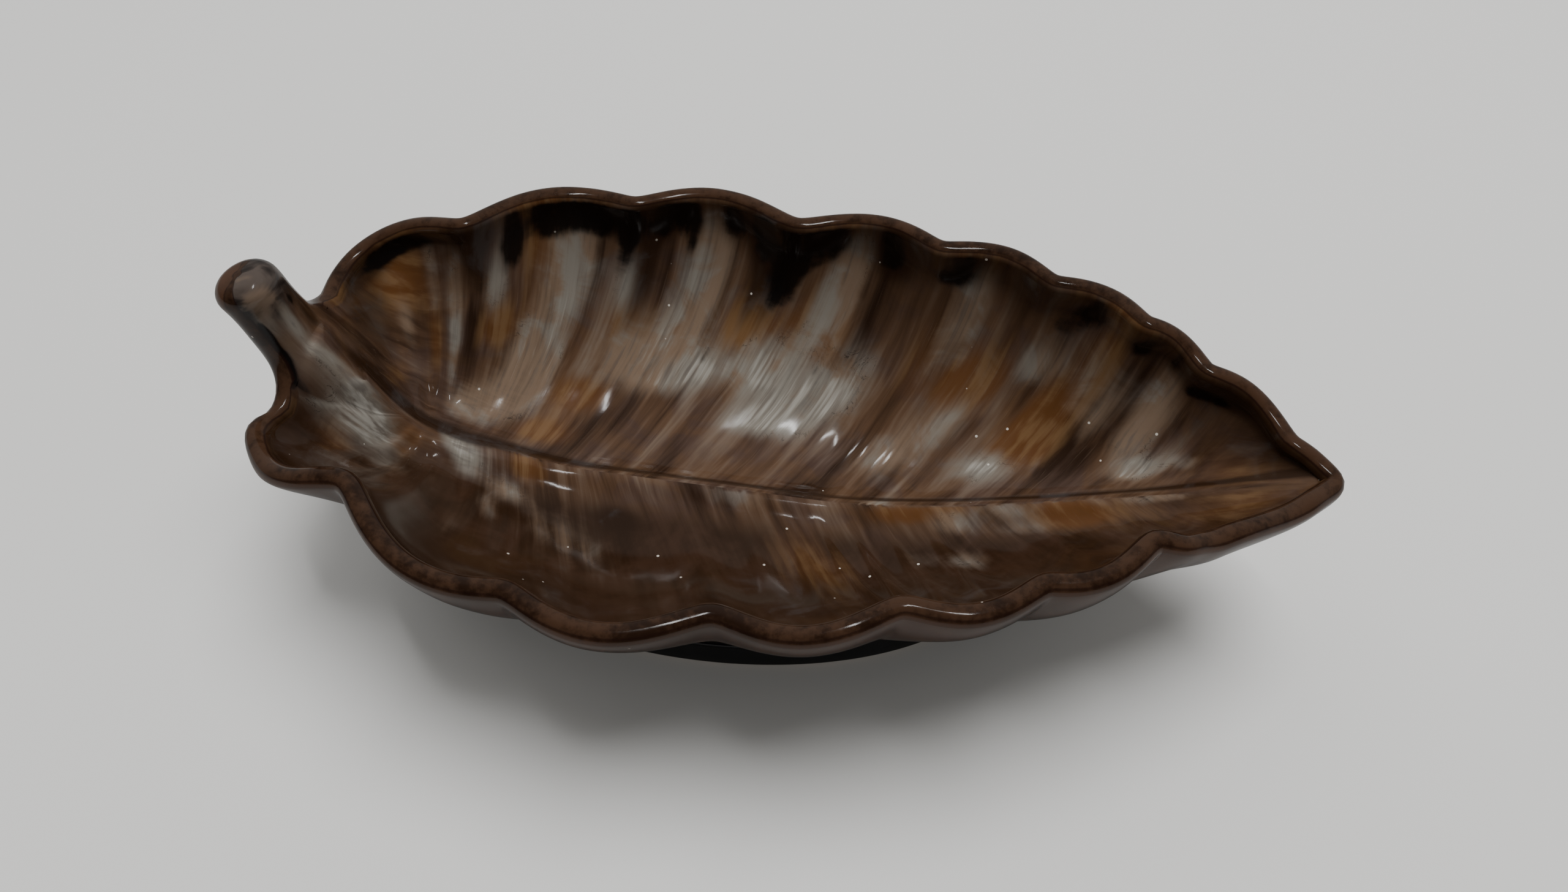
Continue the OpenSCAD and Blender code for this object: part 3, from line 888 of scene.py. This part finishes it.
def buildFoot():
    profile = footProfile()
    bm = bmesh.new()
    bmesh.ops.create_grid(bm, x_segments=foot["columns"], y_segments=len(profile), size=0.5)
    for vert in bm.verts:
        angle = (vert.co.x + 0.5) * math.tau
        inset, z = profile[round((vert.co.y + 0.5) * len(profile)) % len(profile)]
        a = leaf["footLength"] / 2 - inset
        b = leaf["footWidth"] / 2 - inset
        vert.co = (Vector((footMid + a * math.cos(angle), b * math.sin(angle), z)) - frameShift) * mm
    bmesh.ops.remove_doubles(bm, verts=bm.verts[:], dist=1e-7)
    bmesh.ops.recalc_face_normals(bm, faces=bm.faces[:])
    mesh = bpy.data.meshes.new("glazedFoot")
    bm.to_mesh(mesh)
    bm.free()
    for face in mesh.polygons:
        face.use_smooth = True
    thing = bpy.data.objects.new("glazedFoot", mesh)
    bpy.context.scene.collection.objects.link(thing)
    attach(thing, "root")
    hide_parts("foot_ring")
    return thing


footPiece = buildFoot()

print("glazes")


def tone(red, green, blue):
    return tuple(((part / 255 + 0.055) / 1.055) ** 2.4 for part in (red, green, blue))


glaze = {
    "deep": tone(36, 23, 15),
    "brown": tone(76, 56, 41),
    "nearShadeBrown": tone(46, 30, 20),
    "plum": tone(67, 51, 43),
    "taupe": tone(102, 87, 74),
    "amber": tone(80, 50, 24),
    "amberPale": tone(100, 74, 48),
    "milkWarm": tone(108, 91, 76),
    "milkCool": tone(112, 107, 99),
    "blueSmoke": tone(56, 54, 54),
    "smoke": tone(78, 76, 74),
    "pool": tone(5, 3, 3),
    "dusk": tone(31, 18, 9),
    "lip": tone(54, 37, 26),
    "lipDark": tone(29, 17, 10),
    "redLine": tone(26, 12, 8),
    "under": tone(65, 43, 30),
    "stem": tone(68, 60, 55),
    "stemDark": tone(30, 25, 23),
    "foot": tone(4, 4, 6),
    "footStreak": tone(20, 20, 24),
    "clay": tone(176, 158, 138),
    "dust": tone(196, 190, 180),
    "pearl": tone(152, 149, 141),
}


def leafGlaze():
    paint = newFinish("streakedBrownGlaze")
    place = paint.add("TexCoord", None, None, out=3)
    flow = paint.add("UVMap", {"uv_map": "glazeFlow"})
    zones = paint.add("Attribute", {"attribute_name": "glazeZones"})
    rows = paint.add("Attribute", {"attribute_name": "glazeRows"})
    amber, milk, pool = (paint.add("SeparateColor", None, {0: zones}, out=i) for i in range(3))
    dusk = Socket(paint, zones.link.node.outputs["Alpha"])
    inside, lip, outside = (paint.add("SeparateColor", None, {0: rows}, out=i) for i in range(3))
    calm = Socket(paint, rows.link.node.outputs["Alpha"])
    near = paint.add("SeparateXYZ", None, {0: place}, out=1) * -1000

    # Brush streaks run down the flutes, and along the rib where they would all meet
    wander = paint.bend(flow, 0.7, (0.16, 0.9, 0))
    along = paint.bend(paint.stretch(place, (60, 330, 60)), 0.8, (1.1, 1.1, 1.1))

    def brushed(across, down, shift):
        spread = paint.cloud(paint.stretch(wander, (across, down, 1), (shift, shift, 0)), 1.0, 3.0, 0.55)
        straight = paint.cloud(paint.stretch(along, (1, 1, 1), (shift, shift, 0)), across / 3.4, 3.0, 0.55)
        return spread + calm * (straight - spread)

    streak = brushed(3.4, 0.34, 0)
    fine = brushed(12, 0.8, 2)
    broad = brushed(1.1, 0.28, 5)
    second = brushed(4.6, 0.45, 8)
    hairAndSheen = brushed(26, 0.8, 11)
    mottle = paint.cloud(place, 300.0, 4.0, 0.6)
    patchy = paint.cloud(place, 60.0, 3.0, 0.55)
    haze = paint.cloud(place, 110.0, 4.0, 0.6, 0.6)

    body = streak * 0.4 + broad * 0.48 + fine * 0.12
    ground = paint.blend(paint.smooth(haze, 0.4, 0.62), glaze["brown"], glaze["plum"])
    wall = paint.blend(paint.smooth(body, 0.36, 0.55), glaze["deep"], ground)
    wall = paint.blend(paint.smooth(body + patchy * 0.1, 0.55, 0.7) * 0.75, wall, glaze["taupe"])
    # Painted shade: the near side of the bowl is darkened towards a dim brown, and the amber, pale glaze and pale
    # streaks are held back there
    shaded = paint.smooth(near, 0.5, 9)
    nearShadeBrown = paint.blend(paint.smooth(haze + (streak - 0.5) * 0.4, 0.35, 0.65), glaze["dusk"], glaze["nearShadeBrown"])
    wall = paint.blend(shaded * 0.9, wall, nearShadeBrown)

    amberTone = paint.blend(paint.smooth(second + (haze - 0.5) * 0.4, 0.42, 0.62), glaze["amber"], glaze["amberPale"])
    amberMask = paint.smooth(amber + (second - 0.5) * 0.8 + (haze - 0.5) * 0.5, 0.12, 0.95)
    wall = paint.blend(amberMask * (0.85 - shaded * 0.35), wall, amberTone)

    milkTone = paint.blend(paint.smooth(broad + (haze - 0.5) * 0.8, 0.4, 0.6), glaze["milkWarm"], glaze["milkCool"])
    milkTone = paint.blend(paint.smooth(fine + (mottle - 0.5) * 0.4, 0.5, 0.3) * 0.4, milkTone, glaze["smoke"])
    milkMask = paint.smooth(milk + (streak - 0.5) * 0.9 + (haze - 0.5) * 0.6, 0.12, 1.0)
    pearly = paint.smooth(milk + (broad - 0.5) * 1.6 + (fine - 0.5) * 1.2, 1.0, 1.5) * paint.smooth(inside, 0.85, 0.6)
    milkTone = paint.blend(pearly, milkTone, glaze["pearl"])
    cover = 0.62 + 0.33 * paint.smooth(second * 0.6 + fine * 0.4, 0.34, 0.56)
    wall = paint.blend(milkMask * cover * (1 - shaded * 0.25), wall, milkTone)

    # Hair-thin pale streaks down the flutes: partly the glaze's own streaks, partly painted highlight lines; fewer in
    # the painted shade of the near side
    wall = paint.blend(paint.smooth(hairAndSheen, 0.6, 0.72) * 0.14 * (1 - shaded), wall, glaze["milkWarm"])
    smoky = paint.smooth(haze + (broad - 0.5) * 0.4, 0.52, 0.7) * 0.55
    duskTone = paint.blend(smoky, glaze["dusk"], glaze["blueSmoke"])
    duskMask = paint.smooth(dusk + pool * 0.4 + (streak - 0.5) * 0.7 + (haze - 0.5) * 0.3, 0.15, 0.9)
    wall = paint.blend(duskMask * 0.88, wall, duskTone)
    poolMask = paint.smooth(pool + (haze - 0.5) * 1.4 + (fine - 0.5) * 0.4 + (streak - 0.5) * 0.4, 0.4, 0.9)
    wall = paint.blend(poolMask * 0.92, wall, glaze["pool"])

    # The stem's end is smoky, with a grey swirl
    height = paint.add("SeparateXYZ", None, {0: place}, out=2) * 1000
    swirl = paint.cloud(place, 130.0, 3.0, 0.5, 2.2)
    end = paint.smooth(height + streak * 6, 45, 51)
    smoked = paint.blend(paint.smooth(swirl, 0.4, 0.62), glaze["stemDark"], glaze["stem"])
    smoked = paint.blend(paint.smooth(milk + (swirl - 0.5) * 1.6, 0.3, 0.9) * 0.6, smoked, glaze["milkWarm"])
    wall = paint.blend(end * (1 - poolMask), wall, smoked)

    # Hair-thin dark cracks where the pale glaze thins out
    crack = 1 - paint.smooth(abs(paint.cloud(place, 170.0, 5.0, 0.7, 1.2) - 0.5), 0.0, 0.012)
    thin = paint.smooth(milkMask, 0.1, 0.5) * paint.smooth(milkMask, 0.95, 0.5) * paint.smooth(patchy, 0.5, 0.62)
    wall = paint.blend(crack * thin * 0.7, wall, glaze["pool"])

    lipMottle = mottle * 0.7 + patchy * 0.6 + paint.cloud(place, 900.0, 3.0, 0.6) * 0.5
    lipTone = paint.blend(paint.smooth(lipMottle, 0.7, 1.05), glaze["lipDark"], glaze["lip"])
    edge = lip + (haze - 0.5) * 0.12
    colour = paint.blend(paint.smooth(edge, 0.22, 0.3), wall, lipTone)
    innerLine = paint.smooth(1 - abs(edge - 0.24) * 16, 0.2, 0.9)
    colour = paint.blend(innerLine * 0.75, colour, glaze["redLine"])
    under = paint.blend(paint.smooth(patchy + (mottle - 0.5) * 0.4, 0.35, 0.65), glaze["lip"], glaze["under"])
    colour = paint.blend(paint.smooth(lip, 0.78, 0.9), colour, under)
    redLine = paint.smooth(1 - abs(lip - 0.76) * 14, 0.2, 0.9)
    colour = paint.blend(redLine * 0.6, colour, glaze["redLine"])
    lowOutside = paint.smooth(outside + (patchy - 0.5) * 0.2, 0.3, 0.8)
    colour = paint.blend(lowOutside, colour, glaze["foot"])
    specks = paint.add("TexVoronoi", {"feature": "F1"}, {"Vector": place, "Scale": 420.0})
    chance = paint.add("SeparateColor", None, {0: Socket(paint, specks.link.node.outputs["Color"])})
    speckMask = paint.smooth(specks, 0.11, 0.07) * paint.smooth(chance, 0.93, 0.94)
    colour = paint.blend(speckMask * 0.8, colour, glaze["dust"])
    relief = streak * 0.4 + mottle * 0.15
    bump = paint.add("Bump", None, {"Strength": 0.1, "Distance": 0.0006, "Height": relief})
    return paint.close(Base_Color=colour, Roughness=0.12, Normal=bump, IOR=1.5)


def footGlaze():
    paint = newFinish("darkFootGlaze")
    place = paint.add("TexCoord", None, None, out=3)
    z = paint.add("SeparateXYZ", None, {0: place}, out=2)
    patchy = paint.cloud(place, 70.0, 3.0, 0.55)
    wiped = paint.smooth(z * 1000 + (patchy - 0.5) * 0.5, 0.85, 1.05)
    grain = paint.cloud(place, 900.0, 3.0, 0.6)
    clay = paint.blend(grain, glaze["clay"], tuple(0.8 * part for part in glaze["clay"]))
    streak = paint.cloud(paint.stretch(place, (1, 1, 0.3)), 120.0, 4.0, 0.6)
    dark = paint.blend(paint.smooth(streak, 0.5, 0.75) * 0.7, glaze["foot"], glaze["footStreak"])
    colour = paint.blend(wiped, clay, dark)
    rough = 0.8 - wiped * 0.66
    return paint.close(Base_Color=colour, Roughness=rough, IOR=1.5)


leafPiece.data.materials.append(leafGlaze())
stemPiece.data.materials.append(leafPiece.data.materials[0])
footPiece.data.materials.append(footGlaze())
